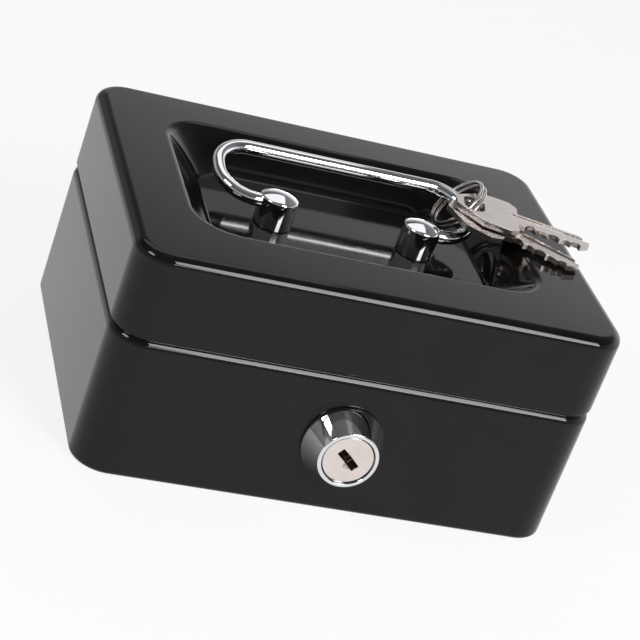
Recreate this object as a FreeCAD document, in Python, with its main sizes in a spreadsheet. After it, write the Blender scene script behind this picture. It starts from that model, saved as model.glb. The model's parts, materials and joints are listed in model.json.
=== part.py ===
"""A small steel cash box with a folding carry handle, a cam lock, two keys and a lift-out coin tray.

The origin is the middle of the underside: X runs along the front, Y towards the hinge and Z up.
All sizes are millimetres and angles are degrees.
"""
import FreeCAD, Part
import math
import os
import re
import Sketcher

Vector = FreeCAD.Vector
Rotation = FreeCAD.Rotation

SIZES = {
    # Case: two drawn shells that meet at the seam
    "box_width": 125.0, "box_depth": 95.0, "box_height": 60.0, "corner_radius": 9.0, "sheet": 0.8,
    "seam_height": 38.0, "seam_gap": 0.4, "shoulder_radius": 3.0, "foot_radius": 1.4,
    "lid_edge_radius": 2.8, "lip_height": 5.0, "lip_gap": 0.5,
    # Recess in the lid, measured at its rim, with sloping walls
    "recess_width": 92.0, "recess_length": 61.0, "recess_offset": 1.5, "recess_drop": 9.0,
    "recess_run": 9.0, "recess_corner": 12.0, "rim_radius": 2.4,
    # Handle and the two posts that carry it
    "post_spacing": 38.9, "post_diameter": 10.0, "post_drop": 0.1, "post_dome": 1.2, "post_edge": 0.6,
    "pivot_drop": 3.2, "handle_wire": 3.6, "leg_clear": 0.3, "front_bend": 9.45, "side_straight": 1.55,
    "back_bend": 9.0, "handle_lean": 14.2, "pivot_play": 0.08, "leg_end_play": 0.6, "socket_floor": 1.6,
    "post_screw": 3.0, "post_screw_bite": 1.8, "screw_head": 5.6, "screw_head_height": 1.4,
    "washer_diameter": 7.0, "washer_thickness": 0.6, "hole_play": 0.1,
    # Hinge on the back wall
    "hinge_width": 70.0, "knuckle_gap": 0.4, "knuckle_diameter": 4.4, "leaf_thickness": 1.0,
    "leaf_height": 12.0, "leaf_share": 0.65, "leaf_clear": 3.4, "pin_diameter": 2.4, "pin_play": 0.05,
    "pin_head": 3.4, "pin_head_length": 0.8, "hinge_stand_off": 0.3, "rivet_diameter": 2.4,
    "rivet_head": 4.4, "rivet_head_height": 0.9, "rivet_spacing": 44.0,
    # Lock
    "lock_height": 19.5, "lock_base": 20.8, "lock_face": 15.0, "lock_stand": 7.4, "lock_rim": 1.0,
    "barrel_diameter": 16.0, "barrel_length": 11.0, "plug_diameter": 10.6, "plug_play": 0.08,
    "plug_dish": 0.4, "plug_flange": 1.0, "flange_depth": 1.2, "seat_gap": 0.35, "dimple_diameter": 5.3,
    "dimple_depth": 0.7, "keyway_width": 2.0, "keyway_height": 6.6, "keyway_depth": 14.0,
    "keyway_turn": -40.0, "plug_stub": 6.0, "wafer_count": 5.0, "wafer_thickness": 0.7,
    "wafer_pitch": 1.7, "wafer_width": 8.0, "wafer_height": 4.8, "wafer_play": 0.1,
    "wafer_start": 3.4, "nut_flats": 21.0, "nut_thickness": 3.0, "cam_thickness": 1.6, "cam_width": 8.0,
    "cam_reach": 16.5, "cam_gap": 0.4, "cam_washer": 8.4, "cam_washer_thickness": 0.6,
    "cam_screw": 3.0, "cam_screw_head": 6.0, "cam_screw_head_height": 2.0, "cam_screw_bite": 2.6,
    # Strike that hangs from the lid into the path of the cam
    "strike_width": 8.0, "strike_thickness": 1.0, "strike_side": 12.5, "strike_foot": 5.0,
    "strike_foot_gap": 0.6, "strike_cam_gap": 1.0, "strike_top_gap": 1.0, "strike_lip_gap": 1.6,
    # Coin tray
    "tray_wall": 1.4, "tray_depth": 20.0, "tray_flange": 1.5, "tray_edge_gap": 0.4, "tray_seat_gap": 0.2,
    "tray_notch_width": 44.0, "tray_notch_depth": 20.0, "tray_side_cup": 32.0, "tray_cup_corner": 4.0,
    "tray_tab_width": 16.0, "tray_tab_height": 1.8,
    # Split ring and keys
    "ring_radius": 7.6, "ring_wire": 1.0, "ring_pitch": 1.45, "ring_turns": 2.0, "ring_inset": 1.8,
    "ring_back": 2.3, "ring_rise": 4.3, "ring_tip": 53.0, "ring_yaw": -12.0,
    "key_thickness": 1.5, "key_bow": 18.0, "key_bow_length": 17.0, "key_bow_end": 5.0,
    "key_end_chamfer": 7.5, "key_hole_width": 5.8, "key_hole_length": 8.0, "key_hole_inset": 4.8,
    "blade_width": 6.4,
    "blade_length": 20.0, "blade_tip": 2.6, "tooth_depth": 1.5, "tooth_pitch": 3.2, "groove_width": 1.5,
    "groove_depth": 0.5, "low_key_rise": 5.7, "low_key_yaw": -33.0, "key_pitch": 2.2,
    "key_gap": 0.3, "high_key_yaw": -13.5,
}

os.makedirs("parts", exist_ok=True)
doc = FreeCAD.newDocument("cash_box")
sheet = doc.addObject("Spreadsheet::Sheet", "Sizes")
for row, (alias, value) in enumerate(SIZES.items(), start=1):
    sheet.set("A%d" % row, alias)
    sheet.set("B%d" % row, str(value))
    sheet.setAlias("B%d" % row, alias)
doc.recompute()

PIECES = []


def bound(text):
    """Turn words for sizes into an expression on the sheet."""
    def named(word):
        name = word.group(0)
        return "Sizes." + name if name in SIZES else name
    return re.sub(r"[a-z_]+", named, str(text))


def value_of(text):
    """The present value of an expression in sizes."""
    return float(sheet.evalExpression(bound(text)))


def keep(thing, label):
    """Name a finished sub-part, so that it is written out."""
    thing.Label = label
    PIECES.append(thing)
    return thing


def place(thing, at):
    """Bind the position of an object to three expressions."""
    for axis, text in zip("xyz", at):
        thing.setExpression("Placement.Base." + axis, bound(text))
    return thing


def turned_about(thing, axis, angle):
    """Turn an object about an axis by a bound angle."""
    thing.Placement = FreeCAD.Placement(thing.Placement.Base, Rotation(axis, 1.0))
    thing.setExpression("Placement.Rotation.Angle", bound(angle))
    return thing


AXES = {"z": Rotation(), "x": Rotation(Vector(0, 1, 0), 90), "y": Rotation(Vector(1, 0, 0), -90)}


def rod(name, diameter, length, at=("0", "0", "0"), axis="z"):
    """A cylinder that starts at a point and runs along an axis."""
    thing = doc.addObject("Part::Cylinder", name)
    thing.Placement = FreeCAD.Placement(Vector(), AXES[axis])
    thing.setExpression("Radius", bound("(%s) / 2" % diameter))
    thing.setExpression("Height", bound(length))
    return place(thing, at)


def block(name, size, at):
    """A block that starts at its lowest corner."""
    thing = doc.addObject("Part::Box", name)
    for field, text in zip(("Length", "Width", "Height"), size):
        thing.setExpression(field, bound(text))
    return place(thing, at)


def bend(name, radius, start, at):
    """A quarter bend of the handle wire in its own plane, from an angle in whole degrees."""
    thing = doc.addObject("Part::Torus", name)
    thing.Angle3 = 90
    thing.setExpression("Radius1", bound(radius))
    thing.setExpression("Radius2", bound("handle_wire / 2"))
    thing.Placement = FreeCAD.Placement(Vector(), Rotation(Vector(0, 0, 1), start))
    return place(thing, at)


def fused(name, parts):
    thing = doc.addObject("Part::MultiFuse", name)
    thing.Shapes = parts
    thing.Refine = True
    return thing


def cut(name, base, tools):
    thing = doc.addObject("Part::Cut", name)
    thing.Base = base
    thing.Tool = tools[0] if len(tools) == 1 else fused(name + "_tools", tools)
    return thing


def group(name, parts):
    thing = doc.addObject("Part::Compound", name)
    thing.Links = parts
    return thing


def new_body(label):
    return keep(doc.addObject("PartDesign::Body", label), label)


def new_sketch(body, plane, height="0"):
    """A sketch on one of the body's own planes, raised along that plane's normal."""
    sketch = body.newObject("Sketcher::SketchObject", "Sketch")
    support = [f for f in body.Origin.OriginFeatures if f.Role == plane + "_Plane"]
    sketch.AttachmentSupport = [(support[0], "")]
    sketch.MapMode = "FlatFace"
    sketch.setExpression("AttachmentOffset.Base.z", bound(height))
    return sketch


def pin_point(sketch, geometry, vertex, at):
    """Hold one vertex of a sketch at a pair of expressions."""
    for kind, axis, text in zip(("DistanceX", "DistanceY"), (-2, -1), at):
        if str(text) == "0":
            sketch.addConstraint(Sketcher.Constraint("PointOnObject", geometry, vertex, axis))
            continue
        index = sketch.addConstraint(Sketcher.Constraint(kind, -1, 1, geometry, vertex, value_of(text)))
        sketch.setExpression("Constraints[%d]" % index, bound(text))


def polygon(sketch, points):
    """A closed outline through points given as pairs of expressions."""
    spots = [Vector(value_of(x), value_of(y), 0) for x, y in points]
    first = sketch.GeometryCount
    for a, b in zip(spots, spots[1:] + spots[:1]):
        sketch.addGeometry(Part.LineSegment(a, b), False)
    for i, point in enumerate(points):
        before = first + (i - 1) % len(points)
        sketch.addConstraint(Sketcher.Constraint("Coincident", before, 2, first + i, 1))
        pin_point(sketch, first + i, 1, point)


def rounded(sketch, width, depth, radius, centre=("0", "0")):
    """A rectangle with four equal round corners about a centre."""
    half_x = "(%s) / 2 - (%s)" % (width, radius)
    half_y = "(%s) / 2 - (%s)" % (depth, radius)
    first = sketch.GeometryCount
    signs = [(1, 1), (-1, 1), (-1, -1), (1, -1)]
    middles = [("(%s) + %d * (%s)" % (centre[0], sx, half_x), "(%s) + %d * (%s)" % (centre[1], sy, half_y))
               for sx, sy in signs]
    size = value_of(radius)
    for i, (mx, my) in enumerate(middles):
        circle = Part.Circle(Vector(value_of(mx), value_of(my), 0), Vector(0, 0, 1), size)
        sketch.addGeometry(Part.ArcOfCircle(circle, math.radians(90 * i), math.radians(90 * i + 90)), False)
    for i in range(4):
        start = sketch.Geometry[first + i].EndPoint
        end = sketch.Geometry[first + (i + 1) % 4].StartPoint
        sketch.addGeometry(Part.LineSegment(start, end), False)
    for i in range(4):
        side = first + 4 + i
        sketch.addConstraint(Sketcher.Constraint("Tangent", first + i, 2, side, 1))
        sketch.addConstraint(Sketcher.Constraint("Tangent", side, 2, first + (i + 1) % 4, 1))
        if i:
            sketch.addConstraint(Sketcher.Constraint("Equal", first, first + i))
    pin_point(sketch, first, 3, middles[0])
    pin_point(sketch, first + 2, 3, middles[2])
    index = sketch.addConstraint(Sketcher.Constraint("Radius", first, size))
    sketch.setExpression("Constraints[%d]" % index, bound(radius))


def circle(sketch, diameter, at=("0", "0")):
    spot = Vector(value_of(at[0]), value_of(at[1]), 0)
    number = sketch.addGeometry(Part.Circle(spot, Vector(0, 0, 1), value_of(diameter) / 2), False)
    pin_point(sketch, number, 3, at)
    index = sketch.addConstraint(Sketcher.Constraint("Diameter", number, value_of(diameter)))
    sketch.setExpression("Constraints[%d]" % index, bound(diameter))


def pad(body, sketch, length, backwards=False):
    feature = body.newObject("PartDesign::Pad", "Pad")
    feature.Profile = sketch
    feature.Reversed = backwards
    feature.setExpression("Length", bound(length))
    doc.recompute()
    return feature


def pocket(body, sketch, length, backwards=False):
    """Cut a sketch into the body, and make sure that it did cut."""
    before = body.Shape.Volume
    feature = body.newObject("PartDesign::Pocket", "Pocket")
    feature.Profile = sketch
    feature.Reversed = backwards
    feature.setExpression("Length", bound(length))
    doc.recompute()
    assert body.Shape.Volume < before - 1e-6, "a pocket cut nothing in " + body.Label
    return feature


def revolved(label, points):
    """A turned piece about the Z axis, from an outline of radius and height."""
    body = new_body(label)
    sketch = new_sketch(body, "XZ")
    polygon(sketch, points)
    feature = body.newObject("PartDesign::Revolution", "Revolution")
    feature.Profile = sketch
    feature.ReferenceAxis = (sketch, ["V_Axis"])
    doc.recompute()
    return body


def round_edges(body, radius, test):
    """Fillet the edges of a body that pass a test of their vertices."""
    names = ["Edge%d" % n for n, edge in enumerate(body.Shape.Edges, start=1)
             if all(test(v.Point) for v in edge.Vertexes) and edge.Length > 1e-6]
    assert names, "no edge to round in " + body.Label
    base = body.Tip
    feature = body.newObject("PartDesign::Fillet", "Fillet")
    feature.Base = (base, names)
    feature.setExpression("Radius", bound(radius))
    doc.recompute()
    assert "Invalid" not in feature.State, "%s edges in %s were not rounded" % (radius, body.Label)
    return feature


def at_height(text):
    """A test for points at one height."""
    height = value_of(text)
    return lambda point: abs(point.z - height) < 1e-4


FRONT_WALL = "box_depth / 2 - sheet"
LIP_INSET = "(sheet + lip_gap)"
LID_BOTTOM = "(seam_height + seam_gap)"
FLOOR = "(box_height - recess_drop)"
UNDER_FLOOR = "(box_height - recess_drop - sheet)"
LIP_TOP = "(seam_height + lip_height)"
PIVOT = "(box_height - pivot_drop)"
POST_HEIGHT = "(recess_drop - post_drop)"
HALF_SPAN = "(post_spacing / 2 + post_diameter / 2 + leg_clear + front_bend)"
HINGE_Y = "(box_depth / 2 + hinge_stand_off + knuckle_diameter / 2)"
HINGE_Z = "(seam_height + seam_gap / 2)"
BASE_RIVET_Z = "(%s - leaf_clear - 0.75 * leaf_height)" % HINGE_Z
LID_LEAF_HEIGHT = "(leaf_share * (box_height - %s - leaf_clear))" % HINGE_Z
LID_RIVET_Z = "(%s + leaf_clear + 0.75 * %s)" % (HINGE_Z, LID_LEAF_HEIGHT)
RIVET_SIDES = [("left", -1), ("right", 1)]
WALL_REACH = "(3 * sheet)"


def wall_holes(body, diameter, spots, wall):
    """Round holes through the front or back wall of a shell."""
    sketch = new_sketch(body, "XZ", "%s * (box_depth / 2 - sheet - sheet)" % wall)
    for spot in spots:
        circle(sketch, diameter, spot)
    pocket(body, sketch, WALL_REACH, backwards=wall == "1")


def rivet_spots(height):
    return [("%d * rivet_spacing / 2" % side, height) for _, side in RIVET_SIDES]


def make_base_shell():
    """The drawn lower shell, with a rounded shoulder and an upstanding lip inside the lid."""
    body = new_body("base_shell")
    outline = new_sketch(body, "XY")
    rounded(outline, "box_width", "box_depth", "corner_radius")
    pad(body, outline, "seam_height")
    inside = new_sketch(body, "XY", "sheet")
    rounded(inside, "box_width - 2 * sheet", "box_depth - 2 * sheet", "corner_radius - sheet")
    pocket(body, inside, "seam_height - 2 * sheet", backwards=True)
    round_edges(body, "shoulder_radius - sheet", at_height("seam_height - sheet"))
    round_edges(body, "foot_radius - sheet", at_height("sheet"))
    round_edges(body, "shoulder_radius", at_height("seam_height"))
    round_edges(body, "foot_radius", at_height("0"))
    lip = new_sketch(body, "XY", "seam_height - sheet")
    rounded(lip, "box_width - 2 * " + LIP_INSET, "box_depth - 2 * " + LIP_INSET,
            "corner_radius - " + LIP_INSET)
    pad(body, lip, "lip_height + sheet")
    mouth = new_sketch(body, "XY", LIP_TOP)
    reach = LIP_INSET + " - sheet"
    rounded(mouth, "box_width - 2 * (sheet + lip_gap + sheet)", "box_depth - 2 * (sheet + lip_gap + sheet)",
            "corner_radius - " + reach)
    pocket(body, mouth, "lip_height + 2 * sheet")
    wall_holes(body, "barrel_diameter + 2 * hole_play", [("0", "lock_height")], "1")
    wall_holes(body, "rivet_diameter + 2 * pin_play", rivet_spots(BASE_RIVET_Z), "-1")


def make_lid_shell():
    """The drawn upper shell, with the handle recess pressed into its top."""
    body = new_body("lid_shell")
    outline = new_sketch(body, "XY", LID_BOTTOM)
    rounded(outline, "box_width", "box_depth", "corner_radius")
    pad(body, outline, "box_height - " + LID_BOTTOM)
    inside = new_sketch(body, "XY", LID_BOTTOM)
    rounded(inside, "box_width - 2 * sheet", "box_depth - 2 * sheet", "corner_radius - sheet")
    pocket(body, inside, "box_height - sheet - " + LID_BOTTOM, backwards=True)
    round_edges(body, "lid_edge_radius - sheet", at_height("box_height - sheet"))
    round_edges(body, "lid_edge_radius", at_height("box_height"))
    skin = "(sheet * sqrt(recess_drop ^ 2 + recess_run ^ 2) / recess_drop)"
    pan(body, "PartDesign::AdditiveLoft", skin, "box_height - sheet / 2", UNDER_FLOOR)
    pan(body, "PartDesign::SubtractiveLoft", "0", "box_height", FLOOR)
    round_edges(body, "rim_radius", in_recess_at("box_height"))
    screws = new_sketch(body, "XY", FLOOR)
    for side in (-1, 1):
        circle(screws, "post_screw + 2 * hole_play", ("%d * post_spacing / 2" % side, "0"))
    pocket(body, screws, "2 * sheet")
    wall_holes(body, "rivet_diameter + 2 * pin_play", rivet_spots(LID_RIVET_Z), "-1")


def pan(body, kind, skin, top, bottom):
    """A tapered pan for the recess: its outside when added, its inside when taken away."""
    sketches = []
    for height, run in ((top, "0"), (bottom, "recess_run")):
        sketch = new_sketch(body, "XY", height)
        rounded(sketch, "recess_width + 2 * (%s) - 2 * (%s)" % (skin, run),
                "recess_length + 2 * (%s) - 2 * (%s)" % (skin, run),
                "recess_corner + (%s) - (%s) / 2" % (skin, run), ("0", "recess_offset"))
        sketches.append(sketch)
    feature = body.newObject(kind, "Pan")
    feature.Profile = sketches[0]
    feature.Sections = [sketches[1]]
    feature.Ruled = True
    doc.recompute()


def in_recess_at(text):
    """A test for points on the rim of the recess."""
    height = value_of(text)
    half_x = value_of("recess_width / 2") + 0.01
    return lambda point: abs(point.z - height) < 1e-4 and abs(point.x) < half_x


def make_posts():
    """Two domed posts on the recess floor, each with a blind cross hole for one leg of the handle."""
    dome_radius = "((post_diameter / 2) ^ 2 + post_dome ^ 2) / (2 * post_dome)"
    post_top = "(%s + %s)" % (FLOOR, POST_HEIGHT)
    brow = value_of(post_top + " - post_dome")
    for name, side in RIVET_SIDES:
        x = "%d * post_spacing / 2" % side
        shank = rod(name + "_shank", "post_diameter", POST_HEIGHT, (x, "0", FLOOR))
        ball = doc.addObject("Part::Sphere", name + "_ball")
        ball.setExpression("Radius", bound(dome_radius))
        place(ball, (x, "0", "%s - (%s)" % (post_top, dome_radius)))
        domed = doc.addObject("Part::Common", name + "_domed")
        domed.Base = shank
        domed.Tool = ball
        top = doc.addObject("Part::Fillet", name + "_rounded")
        top.Base = domed
        doc.recompute()
        crown = [n for n, edge in enumerate(domed.Shape.Edges, start=1)
                 if edge.Closed and all(abs(v.Z - brow) < 1e-6 for v in edge.Vertexes)]
        edge = value_of("post_edge")
        top.Edges = [(number, edge, edge) for number in crown]
        socket_start = "post_spacing / 2 - post_diameter / 2 + socket_floor"
        hole_at = socket_start if side > 0 else "-(%s) - post_diameter" % socket_start
        hole = rod(name + "_socket", "handle_wire + 2 * pivot_play", "post_diameter",
                   (hole_at, "0", PIVOT), "x")
        thread = rod(name + "_thread", "post_screw", "post_screw_bite", (x, "0", FLOOR))
        keep(cut("post_" + name, top, [hole, thread]), "handle_post_" + name)


def make_post_fasteners():
    """A screw and a washer under the recess floor for each post."""
    screws, washers = [], []
    for name, side in RIVET_SIDES:
        x = "%d * post_spacing / 2" % side
        head_at = UNDER_FLOOR + " - washer_thickness - screw_head_height"
        head = rod(name + "_head", "screw_head", "screw_head_height", (x, "0", head_at))
        stem_length = "screw_head_height + washer_thickness + sheet + post_screw_bite"
        stem = rod(name + "_stem", "post_screw", stem_length, (x, "0", head_at))
        slot = block(name + "_slot", ("screw_head", "post_screw / 4", "screw_head_height / 2"),
                     (x + " - screw_head / 2", "-post_screw / 8", head_at))
        screws.append(cut(name + "_screw", fused(name + "_body", [head, stem]), [slot]))
        ring_at = (x, "0", UNDER_FLOOR + " - washer_thickness")
        disc = rod(name + "_disc", "washer_diameter", "washer_thickness", ring_at)
        hole = rod(name + "_hole", "post_screw + 2 * hole_play", "washer_thickness", ring_at)
        washers.append(cut(name + "_washer", disc, [hole]))
    keep(group("post_screw_set", screws), "post_screws")
    keep(group("post_washer_set", washers), "post_washers")


def make_handle():
    """A bail of round wire, drawn flat with its pivot on the X axis and then leaned back."""
    half = HALF_SPAN
    reach = "(front_bend + side_straight + back_bend)"
    leg = "(post_diameter + leg_clear - socket_floor - leg_end_play)"
    parts = [rod("bar", "handle_wire", "2 * (%s - back_bend)" % half,
                 ("-(%s - back_bend)" % half, reach, "0"), "x")]
    for name, side, front_start, back_start in (("left", -1, 180, 90), ("right", 1, 270, 0)):
        inner = "%d * (%s - front_bend)" % (side, half)
        outer = "%d * (%s - back_bend)" % (side, half)
        parts.append(bend(name + "_front_bend", "front_bend", front_start, (inner, "front_bend", "0")))
        parts.append(bend(name + "_back_bend", "back_bend", back_start, (outer, reach + " - back_bend", "0")))
        parts.append(rod(name + "_side", "handle_wire", "side_straight",
                         ("%d * %s" % (side, half), "front_bend", "0"), "y"))
        leg_at = "%s - %s" % (inner, leg) if side > 0 else inner
        parts.append(rod(name + "_leg", "handle_wire", leg, (leg_at, "0", "0"), "x"))
    bail = fused("bail", parts)
    turned_about(bail, Vector(1, 0, 0), "handle_lean")
    keep(place(bail, ("0", "0", PIVOT)), "handle_bail")


KNUCKLES = 5


def make_hinge():
    """Two leaves with interleaved knuckles on one pin, and the rivets that hold them."""
    pitch = "(hinge_width / %d)" % KNUCKLES
    for name, first, leaf_at, height, rivet_z in (
            ("base", 0, HINGE_Z + " - leaf_clear - leaf_height", "leaf_height", BASE_RIVET_Z),
            ("lid", 1, HINGE_Z + " + leaf_clear", LID_LEAF_HEIGHT, LID_RIVET_Z)):
        wall = "box_depth / 2"
        parts = [block(name + "_plate", ("hinge_width", "leaf_thickness", height),
                       ("-hinge_width / 2", wall, leaf_at))]
        bores = []
        for n in range(first, KNUCKLES, 2):
            x = "-hinge_width / 2 + %d * %s + knuckle_gap / 2" % (n, pitch)
            width = pitch + " - knuckle_gap"
            tab_at = HINGE_Z + " - leaf_clear - leaf_height / 2" if name == "base" else HINGE_Z
            parts.append(block("%s_tab_%d" % (name, n),
                               (width, "leaf_thickness", "leaf_clear + %s / 2" % height),
                               (x, wall + " + hinge_stand_off", tab_at)))
            parts.append(rod("%s_knuckle_%d" % (name, n), "knuckle_diameter", width,
                             (x, HINGE_Y, HINGE_Z), "x"))
        bores.append(rod(name + "_bore", "pin_diameter + 2 * pin_play", "hinge_width",
                         ("-hinge_width / 2", HINGE_Y, HINGE_Z), "x"))
        rivets = []
        for side_name, side in RIVET_SIDES:
            label = name + "_" + side_name
            x = "%d * rivet_spacing / 2" % side
            start = "box_depth / 2 - sheet - rivet_head_height"
            stack = "sheet + leaf_thickness"
            bores.append(rod(label + "_rivet_hole", "rivet_diameter + 2 * pin_play", "2 * leaf_thickness",
                             (x, "box_depth / 2 - leaf_thickness / 2", rivet_z), "y"))
            shank = rod(label + "_shank", "rivet_diameter", "rivet_head_height + " + stack,
                        (x, start, rivet_z), "y")
            tail = rod(label + "_tail", "rivet_head", "rivet_head_height", (x, start, rivet_z), "y")
            head = rod(label + "_head", "rivet_head", "rivet_head_height",
                       (x, "box_depth / 2 + leaf_thickness", rivet_z), "y")
            rivets.append(fused(label + "_rivet", [shank, tail, head]))
        keep(cut(name + "_leaf", fused(name + "_leaf_body", parts), bores), "hinge_leaf_" + name)
        keep(group(name + "_rivet_set", rivets), "hinge_rivets_" + name)
    pin = rod("pin", "pin_diameter", "hinge_width + 2 * pin_head_length",
              ("-hinge_width / 2 - pin_head_length", HINGE_Y, HINGE_Z), "x")
    heads = [rod("pin_head_%d" % n, "pin_head", "pin_head_length", (x, HINGE_Y, HINGE_Z), "x")
             for n, x in enumerate(("-hinge_width / 2 - pin_head_length", "hinge_width / 2"))]
    keep(fused("pin_whole", [pin] + heads), "hinge_pin")


def face_on(body, y):
    """Stand a turned piece on the lock's axis, with its outer end towards the front."""
    body.Placement = FreeCAD.Placement(Vector(), Rotation(Vector(1, 0, 0), 90))
    place(body, ("0", y, "lock_height"))


FRONT_FACE = "-box_depth / 2"
LOCK_FRONT = "(-box_depth / 2 - lock_stand)"
PLUG_LENGTH = "(lock_stand + sheet + barrel_length - plug_dish)"


def make_lock_housing():
    """A cone on the outside of the wall and a round barrel through it, bored for the plug."""
    bore = "plug_diameter / 2 + plug_play"
    seat = "plug_diameter / 2 + plug_flange + seat_gap"
    housing = revolved("lock_housing", [
        (bore, "-sheet - barrel_length"), ("barrel_diameter / 2", "-sheet - barrel_length"),
        ("barrel_diameter / 2", "0"), ("lock_base / 2", "0"), ("lock_base / 2", "lock_rim"),
        ("lock_face / 2", "lock_stand"), (seat, "lock_stand"),
        (seat, "lock_stand - plug_dish - flange_depth - plug_play"),
        (bore, "lock_stand - plug_dish - flange_depth - plug_play")])
    face_on(housing, FRONT_FACE)


def make_lock_plug():
    """The turning plug, with its dimple, keyway, wafer slots and a round stub for the cam."""
    flange = "plug_diameter / 2 + plug_flange"
    stub = "cam_thickness + cam_gap"
    plug = revolved("lock_plug", [
        ("0", "-%s - %s" % (PLUG_LENGTH, stub)), ("plug_stub / 2", "-%s - %s" % (PLUG_LENGTH, stub)),
        ("plug_stub / 2", "-" + PLUG_LENGTH), ("plug_diameter / 2", "-" + PLUG_LENGTH),
        ("plug_diameter / 2", "-flange_depth"), (flange, "-flange_depth"), (flange, "0"),
        ("dimple_diameter / 2", "0"), ("0", "-dimple_depth")])
    keyway = new_sketch(plug, "XY")
    half_x, half_y = "keyway_height / 2", "keyway_width / 2"
    polygon(keyway, [("-" + half_x, "-" + half_y), (half_x, "-" + half_y), (half_x, half_y),
                     ("-" + half_x, half_y)])
    keyway.AttachmentOffset = FreeCAD.Placement(Vector(), Rotation(Vector(0, 0, 1), 1.0))
    keyway.setExpression("AttachmentOffset.Rotation.Angle", bound("keyway_turn"))
    doc.recompute()
    pocket(plug, keyway, "keyway_depth")
    for n in range(int(SIZES["wafer_count"])):
        slot = new_sketch(plug, "XY", "-(wafer_start + %d * wafer_pitch)" % n)
        wide, high = "wafer_height / 2 + wafer_play", "wafer_width / 2 + wafer_play"
        polygon(slot, [("-(%s)" % high, "-(%s)" % wide), (high, "-(%s)" % wide), (high, wide),
                       ("-(%s)" % high, wide)])
        slot.setExpression("AttachmentOffset.Rotation.Angle", bound("keyway_turn"))
        doc.recompute()
        pocket(plug, slot, "wafer_thickness + 2 * wafer_play")
    tap = new_sketch(plug, "XY", "-%s - %s" % (PLUG_LENGTH, stub))
    circle(tap, "cam_screw")
    pocket(plug, tap, "cam_screw_bite", backwards=True)
    face_on(plug, LOCK_FRONT + " + plug_dish")


def make_lock_wafers():
    """The flat wafers that a key lifts, each with a window for the key."""
    wafers = []
    for n in range(int(SIZES["wafer_count"])):
        y = LOCK_FRONT + " + plug_dish + wafer_start + %d * wafer_pitch + wafer_play" % n
        plate = block("wafer_%d" % n, ("wafer_width", "wafer_thickness", "wafer_height"),
                      ("-wafer_width / 2", "0", "-wafer_height / 2"))
        window = block("window_%d" % n, ("keyway_height", "wafer_thickness", "keyway_width"),
                       ("-keyway_height / 2", "0", "-keyway_width / 2"))
        wafer = cut("wafer_plate_%d" % n, plate, [window])
        turned_about(wafer, Vector(0, -1, 0), "keyway_turn")
        wafers.append(place(wafer, ("0", y, "lock_height")))
    keep(group("wafer_set", wafers), "lock_wafers")


CAM_Y = "(box_depth / -2 + sheet + barrel_length + cam_gap)"


def make_lock_fittings():
    """The nut inside the wall, the cam on the plug's stub, and its washer and screw."""
    nut = doc.addObject("Part::Prism", "nut_blank")
    nut.Polygon = 6
    nut.setExpression("Circumradius", bound("nut_flats / sqrt(3)"))
    nut.setExpression("Height", bound("nut_thickness"))
    nut.Placement = FreeCAD.Placement(Vector(), AXES["y"])
    place(nut, ("0", "-(%s)" % FRONT_WALL, "lock_height"))
    hole = rod("nut_hole", "barrel_diameter", "nut_thickness",
               ("0", "-(%s)" % FRONT_WALL, "lock_height"), "y")
    keep(cut("nut", nut, [hole]), "lock_nut")
    arm = block("cam_arm", ("cam_width", "cam_thickness", "cam_reach"),
                ("-cam_width / 2", CAM_Y, "lock_height"))
    boss = rod("cam_boss", "cam_width", "cam_thickness", ("0", CAM_Y, "lock_height"), "y")
    bore = rod("cam_bore", "plug_stub", "cam_thickness", ("0", CAM_Y, "lock_height"), "y")
    keep(cut("cam", fused("cam_blank", [arm, boss]), [bore]), "lock_cam")
    washer_y = CAM_Y + " + cam_thickness"
    disc = rod("cam_washer_disc", "cam_washer", "cam_washer_thickness", ("0", washer_y, "lock_height"), "y")
    eye = rod("cam_washer_eye", "cam_screw + 2 * hole_play", "cam_washer_thickness",
              ("0", washer_y, "lock_height"), "y")
    keep(cut("cam_washer_ring", disc, [eye]), "cam_washer")
    head_y = washer_y + " + cam_washer_thickness"
    head = rod("cam_screw_head_disc", "cam_screw_head", "cam_screw_head_height",
               ("0", head_y, "lock_height"), "y")
    stem = rod("cam_screw_stem", "cam_screw", "cam_screw_bite + cam_washer_thickness",
               ("0", head_y + " - cam_washer_thickness - cam_screw_bite", "lock_height"), "y")
    slot = block("cam_screw_slot", ("cam_screw_head", "cam_screw_head_height / 2", "cam_screw / 4"),
                 ("-cam_screw_head / 2", head_y + " + cam_screw_head_height / 2",
                  "lock_height - cam_screw / 8"))
    keep(cut("cam_screw_whole", fused("cam_screw_blank", [head, stem]), [slot]), "cam_screw")


def make_strike():
    """A bent strip on the lid's front wall that hangs behind the lip with its foot under the locked cam."""
    wall = "-(%s)" % FRONT_WALL
    leg_y = CAM_Y + " - strike_cam_gap - strike_thickness"
    bend_z = LIP_TOP + " + strike_lip_gap"
    pad_height = "box_height - lid_edge_radius - strike_top_gap - (%s)" % bend_z
    foot_z = "lock_height - cam_width / 2 - strike_foot_gap - strike_thickness"
    x = "strike_side"
    pad_part = block("strike_pad_plate", ("strike_width", "strike_thickness", pad_height), (x, wall, bend_z))
    shelf_reach = "%s + strike_thickness - (%s)" % (leg_y, wall)
    shelf = block("strike_shelf", ("strike_width", shelf_reach, "strike_thickness"), (x, wall, bend_z))
    leg_height = "%s + strike_thickness - (%s)" % (bend_z, foot_z)
    leg = block("strike_leg", ("strike_width", "strike_thickness", leg_height), (x, leg_y, foot_z))
    foot = block("strike_foot_plate", ("strike_width", "strike_foot", "strike_thickness"), (x, leg_y, foot_z))
    keep(fused("strike", [pad_part, shelf, leg, foot]), "lid_strike")


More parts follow.
